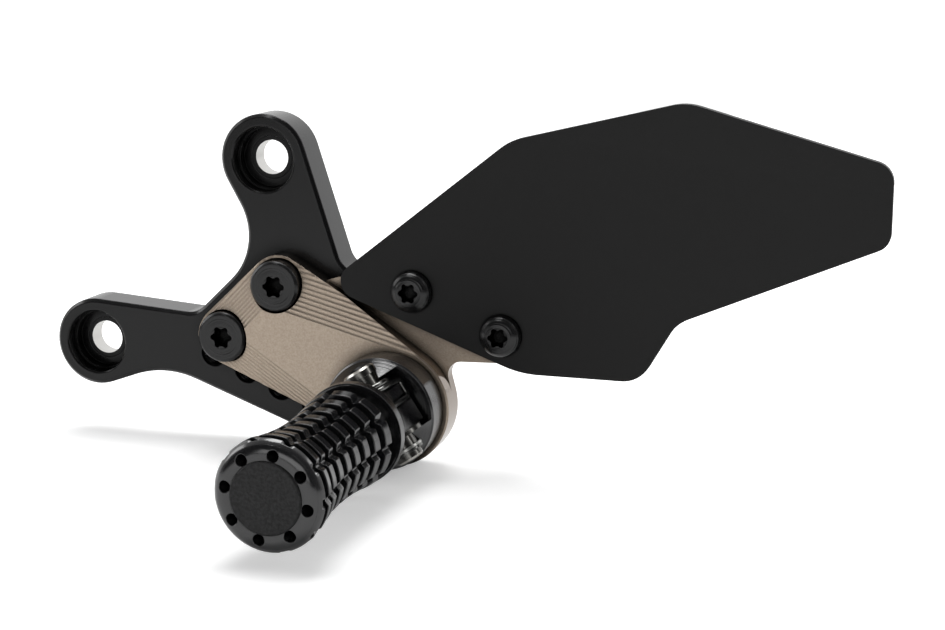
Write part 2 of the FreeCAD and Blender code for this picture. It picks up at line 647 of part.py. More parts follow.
# Mount screw and dowel
mount_screw = on_axis("mount_screw")
sunk = read("sunk_wide") / 2
end = carrier_back + read("mount_screw_long")
lathe(mount_screw, "mount_screw_side", [
    (0, carrier_back), (sunk, carrier_back), (sunk, rim_top), (shank, rim_top + sunk - shank),
    (shank, carrier_front - read("spigot_long")), (core, carrier_front - read("spigot_long")),
    (core, end), (0, end)])
socket = hexagon(flat_sketch(mount_screw, "mount_socket", front), read("hex_flats"))
pocket(mount_screw, socket, "size.hex_deep", upward=True)
dowel = on_axis("mount_dowel")
pad(dowel, circle(flat_sketch(dowel, "dowel_round", front + " + size.carrier_thick"),
                  "size.dowel_wide", "-size.dowel_offset"), "size.dowel_long", both=True)

# Hinge pin, its washer and clip
pin = on_pin("hinge_pin")
pin_radius = read("pin_wide") / 2
ear_reach = read("ear_reach")
pin_head = read("pin_head_wide") / 2
edge = read("pin_edge")
clip_low = ear_reach + read("pin_washer")
clip_high = clip_low + read("clip_thick") + read("clip_play")
clip_core = read("clip_core") / 2
head_end = -ear_reach - read("pin_head")
lathe(pin, "pin_side", [
    (0, head_end), (pin_head - edge, head_end), (pin_head, head_end + edge),
    (pin_head, -ear_reach), (pin_radius, -ear_reach), (pin_radius, clip_low),
    (clip_core, clip_low), (clip_core, clip_high), (pin_radius, clip_high),
    (pin_radius, read("pin_low") - edge), (pin_radius - edge, read("pin_low")), (0, read("pin_low"))])
pin_washer = on_pin("pin_washer")
hole = pin_radius + read("fit_gap")
brim = read("spot_wide") / 2 - 0.1
lathe(pin_washer, "pin_washer_side", [(hole, ear_reach), (brim, ear_reach), (brim, clip_low),
                                      (hole, clip_low)])
clip = on_pin("pin_clip")
pad(clip, circle(flat_sketch(clip, "clip_round", str(clip_low)), "size.clip_wide"),
    "size.clip_thick")
mouth = flat_sketch(clip, "clip_mouth", str(clip_low - 1))
gap = 0.42 * read("clip_core")
reach = read("clip_wide")
core_radius = clip_core + read("fit_gap")
bend_at = math.sqrt(core_radius ** 2 - gap ** 2)
chain(mouth, [
    Part.LineSegment(vec(-bend_at, gap, 0), vec(-reach, gap, 0)),
    Part.LineSegment(vec(-reach, gap, 0), vec(-reach, -gap, 0)),
    Part.LineSegment(vec(-reach, -gap, 0), vec(-bend_at, -gap, 0)),
    Part.Arc(vec(-bend_at, -gap, 0), vec(core_radius, 0, 0), vec(-bend_at, gap, 0)),
])
pocket(clip, mouth, "5", upward=True)

# Peg joint with the tongue that turns on the pin
joint = on_axis("peg_joint")
disc = read("joint_wide") / 2
edge = read("joint_edge")
disc_low = read("flange_start")
peg_low = read("peg_start")
stem = read("core_wide") / 2
stem_end = peg_low + read("core_long")
lathe(joint, "joint_side", [(0, disc_low), (disc - edge, disc_low), (disc, disc_low + edge),
                            (disc, peg_low), (stem, peg_low), (stem, stem_end - 1),
                            (stem - 1, stem_end), (0, stem_end)])
top_x = read("tongue_top") - pin_x
foot_x = -read("tongue_foot") - pin_x
arc = read("tongue_arc")
foot_arc = read("foot_arc")
heel_in = -read("stop_near")
heel_out = -read("stop_far")
corner_z = -math.sqrt(arc ** 2 - top_x ** 2)
shoulder = -math.sqrt(arc ** 2 - heel_in ** 2)
foot_z = -math.sqrt(foot_arc ** 2 - foot_x ** 2)
heel_z = -math.sqrt(foot_arc ** 2 - heel_out ** 2)
neck = disc_low + 1 - pin_z
tongue = side_sketch(joint, "tongue", up="-size.tongue_low")


def seat_point(x, z):
    return pivot + vec(x, z, 0)


foot_mid = math.radians(180 + 0.5 * (math.degrees(math.atan2(-foot_z, -foot_x))
                                     + math.degrees(math.atan2(-heel_z, -heel_out))))
top_mid = 0.5 * (math.atan2(shoulder, heel_in) + math.atan2(corner_z, top_x))
chain(tongue, [
    Part.LineSegment(seat_point(top_x, neck), seat_point(foot_x, neck)),
    Part.LineSegment(seat_point(foot_x, neck), seat_point(foot_x, foot_z)),
    Part.Arc(seat_point(foot_x, foot_z),
             seat_point(foot_arc * math.cos(foot_mid), foot_arc * math.sin(foot_mid)),
             seat_point(heel_out, heel_z)),
    Part.LineSegment(seat_point(heel_out, heel_z), seat_point(heel_out, -stop)),
    Part.LineSegment(seat_point(heel_out, -stop), seat_point(heel_in, -stop)),
    Part.LineSegment(seat_point(heel_in, -stop), seat_point(heel_in, shoulder)),
    Part.Arc(seat_point(heel_in, shoulder),
             seat_point(arc * math.cos(top_mid), arc * math.sin(top_mid)),
             seat_point(top_x, corner_z)),
    Part.LineSegment(seat_point(top_x, corner_z), seat_point(top_x, neck)),
])
pad(joint, tongue, "size.tongue_low + size.tongue_high", down=True)
trough = attach(joint, "leg_trough", "YZ_Plane", "create(<<placement>>;"
                " create(<<vector>>; 0; 0; size.tongue_top); create(<<rotation>>; 0; 0; 0))")
half = read("groove_wide") / 2
side = read("leg_side")
cross = pin_z - read("cross_drop")
past = read("tongue_high") + 1
chain(trough, polygon((side - half, cross - half), (past, cross - half), (past, cross + half),
                      (side + half, cross + half), (side + half, disc_low + 5),
                      (side - half, disc_low + 5)))
pocket(joint, trough, "size.groove_deep")
bore = circle(side_sketch(joint, "tongue_bore"), "size.pin_wide + 2 * size.run_gap",
              "size.pin_offset", "size.pin_out")
pocket(joint, bore, "60", both=True)
drill(joint, "joint_tap", "size.tap_wide", low="size.peg_start - 2", deep="30")
doc.recompute()
print("joint", joint.Shape.isValid(), round(joint.Shape.Volume), len(joint.Shape.Solids))

# Thrust washer beside the tongue
shim = on_pin("hinge_shim")
hole = pin_radius + read("run_gap")
brim = read("shim_wide") / 2
shim_low = read("tongue_low")
lathe(shim, "shim_side", [(hole, shim_low), (brim, shim_low),
                          (brim, shim_low + read("shim_thick")), (hole, shim_low + read("shim_thick"))])

# Peg
grip = on_axis("peg_body")
outside = read("peg_wide") / 2
peg_top = peg_low + read("peg_long")
dome_low = peg_top - read("dome_long")
flat = read("dome_flat") / 2
bulge = read("dome_bulge")
bow = vec(0.55 * outside + 0.45 * flat + bulge, 0.5 * (dome_low + peg_top) + bulge, 0)
neck = read("neck_wide") / 2
neck_top = peg_low + read("neck_long")
# the side is drawn in to a waist between the neck and the dome
foot = vec(read("foot_wide") / 2, neck_top, 0)
waist = vec(read("waist_wide") / 2, 0.5 * (neck_top + dome_low), 0)
shoulder = vec(outside, dome_low, 0)
lathe(grip, "peg_side", [], corners=[
    Part.LineSegment(vec(0, peg_low, 0), vec(neck, peg_low, 0)),
    Part.LineSegment(vec(neck, peg_low, 0), vec(neck, neck_top, 0)),
    Part.LineSegment(vec(neck, neck_top, 0), foot),
    Part.Arc(foot, waist, shoulder),
    Part.Arc(shoulder, bow, vec(flat, peg_top, 0)),
    Part.LineSegment(vec(flat, peg_top, 0), vec(0, peg_top, 0)),
    Part.LineSegment(vec(0, peg_top, 0), vec(0, peg_low, 0)),
])
drill(grip, "core_well", "size.core_wide + 2 * size.fit_gap", low="size.peg_start - 1",
      deep="1 + size.core_long + 1")
drill(grip, "grip_bore", "size.grip_bore")
drill(grip, "head_bore", "size.bore_wide", low="size.peg_start + size.grip_seat")
drill(grip, "plug_well", "size.plug_wide + 2 * size.fit_gap",
      low="size.peg_start + size.peg_long - size.plug_seat")
hole = circle(flat_sketch(grip, "end_hole", "size.peg_start + size.peg_long + 1"),
              "size.hole_wide", "size.hole_ring / 2 * cos(size.hole_tilt * 1 deg)",
              "size.hole_ring / 2 * sin(size.hole_tilt * 1 deg)")
around(grip, pocket(grip, hole, "1 + size.hole_deep"), "size.hole_count", "end_holes")
for name in ("ring", "tip"):
    start = peg_low + read(name + "_first")
    stop = start + read(name + "_gap")
    floor = read(name + "_floor") / 2
    groove = lathe(grip, name + "_groove", [(floor, start), (outside + 1, start),
                                            (outside + 1, stop), (floor, stop)], cut=True)
    along(grip, groove, "size.%s_pitch * (size.%s_count - 1)" % (name, name),
          "size.%s_count" % name, name + "_grooves")
# notches across the rings, their floors follow the waist
channel = side_sketch(grip, "channel", spin="size.channel_tilt")
sunk = vec(-read("channel_deep"), 0, 0)
mouth = vec(read("channel_end") / 2, peg_top, 0)
clear = outside + 1
chain(channel, [
    Part.Arc(foot + sunk, waist + sunk, shoulder + sunk),
    Part.LineSegment(shoulder + sunk, mouth),
    Part.LineSegment(mouth, vec(clear, peg_top, 0)),
    Part.LineSegment(vec(clear, peg_top, 0), vec(clear, neck_top, 0)),
    Part.LineSegment(vec(clear, neck_top, 0), foot + sunk),
])
around(grip, pocket(grip, channel, "size.channel_wide", both=True), "size.channel_count", "channels")
doc.recompute()
print("grip", grip.Shape.isValid(), round(grip.Shape.Volume), len(grip.Shape.Solids))

# Screw and end plug of the peg
peg_screw = on_axis("peg_screw")
seat = peg_low + read("grip_seat")
cap = read("grip_head_wide") / 2
cap_top = seat + read("grip_head")
foot = seat - read("grip_screw_long")
lathe(peg_screw, "peg_screw_side", [
    (0, foot), (core, foot), (core, stem_end), (shank, stem_end), (shank, seat), (cap, seat),
    (cap, cap_top - edge), (cap - edge, cap_top), (0, cap_top)])
socket = hexagon(flat_sketch(peg_screw, "peg_screw_socket",
                             "size.peg_start + size.grip_seat + size.grip_head"), read("hex_flats") + 1)
pocket(peg_screw, socket, "size.hex_deep + 1")
plug = on_axis("peg_end_plug")
brim = read("plug_wide") / 2
stalk = read("bore_wide") / 2 - read("fit_gap")
plug_low = peg_top - read("plug_seat")
plug_top = peg_top + read("plug_proud")
edge = read("plug_edge")
lathe(plug, "plug_side", [
    (0, plug_low - read("plug_stem")), (stalk, plug_low - read("plug_stem")), (stalk, plug_low),
    (brim, plug_low), (brim, plug_top - edge), (brim - edge, plug_top), (0, plug_top)])

# Return spring, one leg laid along the tongue, then across to the coil, and a short free leg
doc.recompute()
radius = read("coil_wide") / 2
climb = read("coil_turns") * read("coil_pitch")
lead = math.atan2(read("coil_pitch"), 2 * math.pi * radius)
coil_at = vec(radius, 0, -read("coil_start"))
crossing = coil_at + vec(0, -math.cos(lead), math.sin(lead)) * read("cross_drop")
under = vec(radius, crossing.y, -read("leg_side"))
tip = vec(radius, read("leg_reach"), under.z)
free = vec(-radius, 0, coil_at.z - climb)


def wire_corner(before, at, after):
    back = (before - at).normalize()
    ahead = (after - at).normalize()
    half = back.getAngle(ahead) / 2
    bend = read("wire_bend")
    reach = bend / math.tan(half)
    inset = (back + ahead).normalize() * (bend / math.sin(half) - bend)
    return at + back * reach, at + inset, at + ahead * reach


first_bend = wire_corner(tip, under, crossing)
second_bend = wire_corner(under, crossing, coil_at)
coil = Part.makeHelix(read("coil_pitch"), climb, radius, 0, True)
coil.rotate(vec(0, 0, 0), vec(1, 0, 0), 180)
coil.translate(vec(0, 0, coil_at.z))
path = Part.Wire([
    Part.LineSegment(tip, first_bend[0]).toShape(),
    Part.Arc(*first_bend).toShape(),
    Part.LineSegment(first_bend[2], second_bend[0]).toShape(),
    Part.Arc(*second_bend).toShape(),
    Part.LineSegment(second_bend[2], coil_at).toShape(),
    *coil.Edges,
    Part.LineSegment(free, free - vec(0, math.cos(lead), math.sin(lead)) * read("short_leg")).toShape(),
])
wire_end = Part.Wire(Part.makeCircle(read("wire") / 2, tip, vec(0, 1, 0)))
spring = doc.addObject("Part::Feature", "return_spring")
spring.Label = "return_spring"
spring.Shape = path.makePipeShell([wire_end], True, False)
spring.Placement = pin.Placement

parts = [bracket, sleeve_pair, carrier, carrier_screws, guard, guard_screws, guard_washers,
         guard_nuts, mount, mount_screw, dowel, pin, pin_washer, clip, joint, shim, spring, grip, peg_screw,
         plug]
doc.recompute()
for thing in doc.Objects:
    if "Invalid" in thing.State or "Error" in thing.State:
        raise RuntimeError("%s is not built: %s" % (thing.Name, thing.State))
for part in parts:
    shape = part.Shape
    if shape.isNull() or not shape.isValid():
        raise RuntimeError(part.Label + " has no valid shape")
    shape.exportStep("parts/%s.step" % part.Label)
    print(part.Label, len(shape.Solids), len(shape.Faces), round(shape.Volume))
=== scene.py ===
import math
import bpy
import numpy as np
from mathutils import Matrix, Vector


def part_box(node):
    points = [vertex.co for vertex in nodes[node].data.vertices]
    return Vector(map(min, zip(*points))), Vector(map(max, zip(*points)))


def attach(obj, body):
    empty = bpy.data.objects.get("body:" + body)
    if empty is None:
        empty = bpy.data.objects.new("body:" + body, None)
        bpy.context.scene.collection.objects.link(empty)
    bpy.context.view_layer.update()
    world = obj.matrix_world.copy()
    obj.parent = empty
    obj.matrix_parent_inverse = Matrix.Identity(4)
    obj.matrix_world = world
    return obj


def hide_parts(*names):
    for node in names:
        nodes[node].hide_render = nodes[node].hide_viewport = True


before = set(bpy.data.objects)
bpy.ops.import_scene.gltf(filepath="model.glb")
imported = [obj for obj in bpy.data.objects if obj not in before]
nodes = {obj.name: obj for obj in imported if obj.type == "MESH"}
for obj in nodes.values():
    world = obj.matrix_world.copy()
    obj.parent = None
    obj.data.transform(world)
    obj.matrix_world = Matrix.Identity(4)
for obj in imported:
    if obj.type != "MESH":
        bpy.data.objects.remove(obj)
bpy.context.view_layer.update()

mm = 0.001
# degrees from +X to the way the peg folds, round the peg's axis
pegTilt = 33.0
print("frame loaded:", len(nodes), "nodes")


def linearColour(hexText, alpha=1.0):
    # sRGB hex to the linear values that the sockets take
    channels = [int(hexText[i:i + 2], 16) / 255 for i in (1, 3, 5)]
    return [c / 12.92 if c <= 0.04045 else ((c + 0.055) / 1.055) ** 2.4 for c in channels] + [alpha]


def addNode(tree, kind, settings=None, links=None, stops=()):
    # settings are properties or input sockets, links are {input socket: output socket}, stops are a ramp's
    # positions and colours
    node = tree.nodes.new(kind)
    for key, value in (settings or {}).items():
        if isinstance(key, str) and hasattr(node, key):
            setattr(node, key, value)
        else:
            node.inputs[key].default_value = value
    for key, source in (links or {}).items():
        tree.links.new(source, node.inputs[key])
    for at, (position, colour) in enumerate(stops):
        node.color_ramp.elements[at].position = position
        node.color_ramp.elements[at].color = linearColour(colour)
    return node


def startMaterial(name):
    material = bpy.data.materials.new(name)
    material.use_nodes = True
    tree = material.node_tree
    tree.nodes.clear()
    return material, tree


def paintNode(name, material):
    mesh = nodes[name].data
    mesh.materials.clear()
    mesh.materials.append(material)


def screwCentres(name, headWide, falling):
    # both screws of a node, one in each of two opposite corners of its box
    low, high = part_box(name)
    half = headWide * mm / 2
    left, right = low[0] + half, high[0] - half
    bottom, top = low[2] + half, high[2] - half
    return [(left, top), (right, bottom)] if falling else [(left, bottom), (right, top)]


# camera, placed from the circles of the two counterbores and the peg's end
cameraAt = {"place": (0.2212, -0.4191, 0.1014), "right": (0.9590, 0.2835, 0.0),
            "up": (-0.0577, 0.1953, 0.9790), "back": (0.2775, -0.9389, 0.2037), "lens": 69.1,
            "sensor": 36.0, "near": 0.01}
cameraData = bpy.data.cameras.new("camera")
cameraData.lens = cameraAt["lens"]
cameraData.sensor_width = cameraAt["sensor"]
cameraData.sensor_fit = "HORIZONTAL"
cameraData.clip_start = cameraAt["near"]
camera = bpy.data.objects.new("camera", cameraData)
columns = [cameraAt[key] for key in ("right", "up", "back", "place")]
camera.matrix_world = Matrix([*zip(*columns), (0, 0, 0, 1)])
bpy.context.scene.collection.objects.link(camera)
bpy.context.scene.camera = camera
bpy.context.scene.view_settings.view_transform = "Standard"
print("camera ready")


# numbers that the materials share
shading = {"rampLow": 0.35, "rampHigh": 0.65, "samples": 6, "open": 0.9, "shadow": "#010101", "detail": 3.0,
           "cloudDetail": 2.0}


def addTurning(tree, place, centres, pitch):
    # rings that a lathe leaves: noise over the distance from the nearest axis plus the length along it
    flat = addNode(tree, "ShaderNodeVectorMath", {"operation": "MULTIPLY", 1: (1, 0, 1)}, {0: place})
    along = addNode(tree, "ShaderNodeSeparateXYZ", {}, {"Vector": place})
    reach = None
    for x, z in centres:
        here = addNode(tree, "ShaderNodeVectorMath", {"operation": "DISTANCE", 1: (x, 0, z)},
                       {0: flat.outputs["Vector"]})
        if reach is None:
            reach = here.outputs["Value"]
        else:
            reach = addNode(tree, "ShaderNodeMath", {"operation": "MINIMUM"},
                            {0: reach, 1: here.outputs["Value"]}).outputs["Value"]
    run = addNode(tree, "ShaderNodeMath", {"operation": "ADD"}, {0: reach, 1: along.outputs["Y"]})
    return addNode(tree, "ShaderNodeTexNoise",
                   {"noise_dimensions": "1D", "Scale": 1 / (pitch * mm), "Detail": shading["cloudDetail"]},
                   {"W": run.outputs["Value"]})


def addOpenness(tree, look, full):
    # 0 in sockets, bores and grooves, which hold less light, and 1 on open faces: the mask for painted shade
    hollow = addNode(tree, "ShaderNodeAmbientOcclusion",
                     {"samples": shading["samples"], "Distance": look["hollow"] * mm})
    return addNode(tree, "ShaderNodeMapRange", {"From Min": look["shut"], "From Max": full},
                   {"Value": hollow.outputs["AO"]})


def addFacing(tree, axis):
    # 1 on faces across the axis, 0 on walls along it
    shape = addNode(tree, "ShaderNodeNewGeometry")
    along = addNode(tree, "ShaderNodeVectorMath", {"operation": "DOT_PRODUCT", 1: axis},
                    {0: shape.outputs["True Normal"]})
    return addNode(tree, "ShaderNodeMath", {"operation": "ABSOLUTE"}, {0: along.outputs["Value"]})


# black anodised aluminium, machined and blasted: even black, satin sheen, crisp light on edges, hollows darkened
# with painted shade in colour and shine
def makeAnodised(name, look, centres=()):
    material, tree = startMaterial(name)
    place = addNode(tree, "ShaderNodeTexCoord")
    if centres:
        grain = addTurning(tree, place.outputs["Object"], centres, look["grain"])
    else:
        grain = addNode(tree, "ShaderNodeTexNoise",
                        {"Scale": 1 / (look["grain"] * mm), "Detail": shading["detail"]},
                        {"Vector": place.outputs["Object"]})
    cloud = addNode(tree, "ShaderNodeTexNoise",
                    {"Scale": 1 / (look["cloud"] * mm), "Detail": shading["cloudDetail"]},
                    {"Vector": place.outputs["Object"]})
    rough = addNode(tree, "ShaderNodeMapRange",
                    {"To Min": look["rough"] - look["spread"], "To Max": look["rough"] + look["spread"]},
                    {"Value": cloud.outputs["Fac"]})
    tint = grain if centres else cloud
    shade = addNode(tree, "ShaderNodeValToRGB", {}, {"Fac": tint.outputs["Fac"]},
                    ((shading["rampLow"], look["dark"]), (shading["rampHigh"], look["light"])))
    edge = addNode(tree, "ShaderNodeBevel", {"samples": shading["samples"], "Radius": look["edge"] * mm})
    bump = addNode(tree, "ShaderNodeBump", {"Strength": look["bump"], "Distance": look["relief"] * mm},
                   {"Height": grain.outputs["Fac"], "Normal": edge.outputs["Normal"]})
    opened = addOpenness(tree, look, shading["open"])
    # painted shade: the colour goes to near black and the shine drops in hollows
    tone = addNode(tree, "ShaderNodeMix", {"data_type": "RGBA", "A": linearColour(shading["shadow"])},
                   {"Factor": opened.outputs["Result"], "B": shade.outputs["Color"]})
    shine = addNode(tree, "ShaderNodeMath", {"operation": "MULTIPLY", 1: look["shine"]},
                    {0: opened.outputs["Result"]})
    skin = addNode(tree, "ShaderNodeBsdfPrincipled", {"IOR": look["ior"]},
                   {"Base Color": tone.outputs["Result"], "Roughness": rough.outputs["Result"],
                    "Specular IOR Level": shine.outputs["Value"], "Normal": bump.outputs["Normal"]})
    addNode(tree, "ShaderNodeOutputMaterial", {}, {"Surface": skin.outputs["BSDF"]})
    return material


# lengths in mm: grain and cloud are pattern sizes, relief the bump's height, edge the softened corner, hollow
# the reach of the painted shade in hollows; blasted grain is about 0.1 mm and is drawn coarser, so that it shows
anodisedLook = {
    "bracket": {"dark": "#080809", "light": "#0c0c0d", "rough": 0.2, "spread": 0.03, "grain": 0.25,
                "cloud": 14.0, "bump": 0.1, "relief": 0.05, "edge": 0.42, "ior": 1.5, "hollow": 5.0,
                "shut": 0.3, "shine": 0.36},
    "guard": {"dark": "#0b0b0b", "light": "#0f0f0f", "rough": 0.46, "spread": 0.03, "grain": 0.18,
              "cloud": 30.0, "bump": 0.2, "relief": 0.05, "edge": 0.12, "ior": 1.4, "hollow": 0.6,
              "shut": 0.1, "shine": 0.4},
    "mount": {"dark": "#0c0c0d", "light": "#18181a", "rough": 0.16, "spread": 0.04, "grain": 0.45,
              "cloud": 9.0, "bump": 0.7, "relief": 0.06, "edge": 0.2, "ior": 1.5, "hollow": 1.6,
              "shut": 0.1, "shine": 1.0},
    "peg": {"dark": "#0f0f10", "light": "#19191b", "rough": 0.17, "spread": 0.03, "grain": 0.4,
            "cloud": 7.0, "bump": 0.2, "relief": 0.03, "edge": 0.16, "ior": 1.5, "hollow": 1.6,
            "shut": 0.22, "shine": 0.92},
    "plug": {"dark": "#020202", "light": "#202021", "rough": 0.5, "spread": 0.05, "grain": 0.4,
             "cloud": 0.7, "bump": 1.0, "relief": 0.2, "edge": 0.1, "ior": 1.5, "hollow": 0.5,
             "shut": 0.1, "shine": 0.36},
    "screws": {"dark": "#090909", "light": "#1a1a1b", "rough": 0.22, "spread": 0.05, "grain": 0.6,
               "cloud": 1.5, "bump": 0.8, "relief": 0.12, "edge": 0.28, "ior": 1.5, "hollow": 5.0,
               "shut": 0.5, "shine": 0.5},
}
mountLow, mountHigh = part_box("peg_mount")
pegAxis = [((mountLow[0] + mountHigh[0]) / 2, (mountLow[2] + mountHigh[2]) / 2)]
headWidths = {"carrier_screws": 12.5, "guard_screws": 10.2}
screwPlaces = (screwCentres("carrier_screws", headWidths["carrier_screws"], False)
               + screwCentres("guard_screws", headWidths["guard_screws"], True) + pegAxis)
# deep black with a light line on every edge, counterbores darkened with painted shade
blackBracket = makeAnodised("black anodised aluminium, milled", anodisedLook["bracket"])
# dull, even black
blackGuard = makeAnodised("black anodised sheet, blasted", anodisedLook["guard"])
# fine rings and sharp reflections
blackMount = makeAnodised("black anodised aluminium, turned", anodisedLook["mount"], pegAxis)
# glossy lands between grooves darkened with painted shade
blackPeg = makeAnodised("black anodised aluminium, grooved", anodisedLook["peg"], pegAxis)
# dark speckle without reflections
blackPlug = makeAnodised("black anodised aluminium, fine textured", anodisedLook["plug"])
# grey heads with faint rings, sockets darkened with painted shade
blackScrew = makeAnodised("black oxide steel, turned", anodisedLook["screws"], screwPlaces)

# pale gold anodised aluminium, blasted: satin metal with a fine grain, smoother on its side walls, which take a
# darker, greyer tone as painted shade;
# the grain is drawn coarser than the real 0.1 mm
goldLook = {"dark": "#af9f8f", "light": "#bfb1a1", "side": "#968b82", "shadow": "#0e0b08", "rough": 0.45,
            "wall": 0.16, "wallEnd": 0.2, "flatStart": 0.5, "rampLow": 0.3, "rampHigh": 0.7, "grain": 0.4,
            "bump": 0.35, "relief": 0.02, "edge": 0.12, "hollow": 6.0, "shut": 0.48, "open": 0.8}


def makeGold(look):
    material, tree = startMaterial("champagne anodised aluminium, blasted")
    place = addNode(tree, "ShaderNodeTexCoord")
    grain = addNode(tree, "ShaderNodeTexNoise", {"Scale": 1 / (look["grain"] * mm), "Detail": shading["detail"]},
                    {"Vector": place.outputs["Object"]})
    shade = addNode(tree, "ShaderNodeValToRGB", {}, {"Fac": grain.outputs["Fac"]},
                    ((look["rampLow"], look["dark"]), (look["rampHigh"], look["light"])))
    edge = addNode(tree, "ShaderNodeBevel", {"samples": shading["samples"], "Radius": look["edge"] * mm})
    bump = addNode(tree, "ShaderNodeBump", {"Strength": look["bump"], "Distance": look["relief"] * mm},
                   {"Height": grain.outputs["Fac"], "Normal": edge.outputs["Normal"]})
    flat = addFacing(tree, (0, 1, 0))
    rough = addNode(tree, "ShaderNodeMapRange",
                    {"From Min": look["wallEnd"], "From Max": look["flatStart"], "To Min": look["wall"],
                     "To Max": look["rough"]}, {"Value": flat.outputs["Value"]})
    # painted shade: the side walls take a darker, greyer tone than the faces
    side = addNode(tree, "ShaderNodeMix", {"data_type": "RGBA", "A": linearColour(look["side"])},
                   {"Factor": flat.outputs["Value"], "B": shade.outputs["Color"]})
    # painted shade: the colour goes to near black in hollows, as in the corner behind the plate's edge
    opened = addOpenness(tree, look, look["open"])
    tone = addNode(tree, "ShaderNodeMix", {"data_type": "RGBA", "A": linearColour(look["shadow"])},
                   {"Factor": opened.outputs["Result"], "B": side.outputs["Result"]})
    skin = addNode(tree, "ShaderNodeBsdfPrincipled", {"Metallic": 1.0},
                   {"Base Color": tone.outputs["Result"], "Normal": bump.outputs["Normal"],
                    "Roughness": rough.outputs["Result"]})
    addNode(tree, "ShaderNodeOutputMaterial", {}, {"Surface": skin.outputs["BSDF"]})
    return material


goldPlate = makeGold(goldLook)

# numbers that the steels share, lengths in mm
steelLook = {"spread": 0.05, "detail": 2.0, "samples": 4, "edge": 0.12, "bump": 0.1, "relief": 0.02}


# plated steel: bright metal with a fine grain; faces across the axis and round sides can take two tones, painted
# light and shade by how each faces
def makeSteel(name, look):
    material, tree = startMaterial(name)
    place = addNode(tree, "ShaderNodeTexCoord")
    grain = addNode(tree, "ShaderNodeTexNoise", {"Scale": 1 / (look["grain"] * mm), "Detail": steelLook["detail"]},
                    {"Vector": place.outputs["Object"]})
    rough = addNode(tree, "ShaderNodeMapRange",
                    {"To Min": look["rough"] - steelLook["spread"], "To Max": look["rough"] + steelLook["spread"]},
                    {"Value": grain.outputs["Fac"]})
    edge = addNode(tree, "ShaderNodeBevel", {"samples": steelLook["samples"], "Radius": steelLook["edge"] * mm})
    bump = addNode(tree, "ShaderNodeBump", {"Strength": steelLook["bump"], "Distance": steelLook["relief"] * mm},
                   {"Height": grain.outputs["Fac"], "Normal": edge.outputs["Normal"]})
    flat = addFacing(tree, look["axis"])
    # painted light and shade: the tone follows how far the face turns across the axis
    tone = addNode(tree, "ShaderNodeMix", {"data_type": "RGBA", "A": linearColour(look["colour"]),
                                           "B": linearColour(look["face"])}, {"Factor": flat.outputs["Value"]})
    skin = addNode(tree, "ShaderNodeBsdfPrincipled", {"Metallic": 1.0},
                   {"Base Color": tone.outputs["Result"], "Roughness": rough.outputs["Result"],
                    "Normal": bump.outputs["Normal"]})
    addNode(tree, "ShaderNodeOutputMaterial", {}, {"Surface": skin.outputs["BSDF"]})
    return material


pinAxis = (-math.sin(math.radians(pegTilt)), 0, math.cos(math.radians(pegTilt)))
# colour is the round sides' tone and face the tone across the axis; where they differ, the difference is painted
# light and shade
steels = {
    "zinc": {"colour": "#b9b9b6", "face": "#b9b9b6", "axis": (0, 1, 0), "rough": 0.32, "grain": 0.4},
    "sleeve": {"colour": "#d0cfcc", "face": "#2a2a2a", "axis": (0, 1, 0), "rough": 0.3, "grain": 0.4},
    "nickel": {"colour": "#6a6966", "face": "#e0ddd6", "axis": pinAxis, "rough": 0.22, "grain": 0.6},
    "spring": {"colour": "#6e6e6c", "face": "#8a8a88", "axis": pinAxis, "rough": 0.25, "grain": 0.3},
}
# pale grey, dull shine
zincSteel = makeSteel("zinc plated steel, turned", steels["zinc"])
# bright bore, end face darkened with painted shade
sleeveSteel = makeSteel("steel sleeve, reamed bore", steels["sleeve"])
# ends painted bright as a highlight, round sides darkened with painted shade
nickelSteel = makeSteel("nickel plated steel, polished", steels["nickel"])
# dark grey wire, its faces across the pin's axis painted a little lighter as a highlight
springSteel = makeSteel("spring steel wire, drawn", steels["spring"])
print("materials ready")

finishes = {
    "base_plate": blackBracket, "frame_sleeves": sleeveSteel, "carrier_plate": goldPlate,
    "carrier_screws": blackScrew, "heel_guard": blackGuard, "guard_screws": blackScrew,
    "guard_washers": zincSteel, "guard_nuts": zincSteel, "peg_mount": blackMount,
    "mount_screw": blackScrew, "mount_dowel": zincSteel, "hinge_pin": nickelSteel,
    "pin_washer": zincSteel, "pin_clip": springSteel, "peg_joint": blackMount,
    "hinge_shim": nickelSteel, "return_spring": springSteel, "peg_body": blackPeg,
    "peg_screw": blackScrew, "peg_end_plug": blackPlug}
for name, material in finishes.items():
    paintNode(name, material)


# corners steeper than this many degrees stay sharp
sharpAngle = 28


def addPiece(name, sheets, material, body):
    # every sheet is an array of rows x columns x 3 points in metres, its columns closed into rings
    points = []
    faces = []
    first = 0
    for sheet in sheets:
        rows, columns = sheet.shape[:2]
        row, column = np.meshgrid(np.arange(rows - 1), np.arange(columns), indexing="ij")
        after = (column + 1) % columns
        quads = np.stack((row * columns + column, row * columns + after,
                          (row + 1) * columns + after, (row + 1) * columns + column), axis=-1)
        faces.append(quads.reshape(-1, 4) + first)
        points.append(sheet.reshape(-1, 3))
        first += rows * columns
    mesh = bpy.data.meshes.new(name)
    mesh.from_pydata(np.concatenate(points).tolist(), [], np.concatenate(faces).tolist())
    mesh.shade_smooth()
    mesh.set_sharp_from_angle(angle=math.radians(sharpAngle))
    mesh.materials.append(material)
    piece = bpy.data.objects.new(name, mesh)
    bpy.context.scene.collection.objects.link(piece)
    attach(piece, body)
    return piece


def arcThrough(one, two, three):
    # centre and radius of the circle through three points of a plane
    sides = 2 * np.array((np.subtract(two, one), np.subtract(three, one)))
    squares = np.array((np.dot(two, two) - np.dot(one, one), np.dot(three, three) - np.dot(one, one)))
    centre = np.linalg.solve(sides, squares)
    return centre, np.linalg.norm(np.subtract(one, centre))


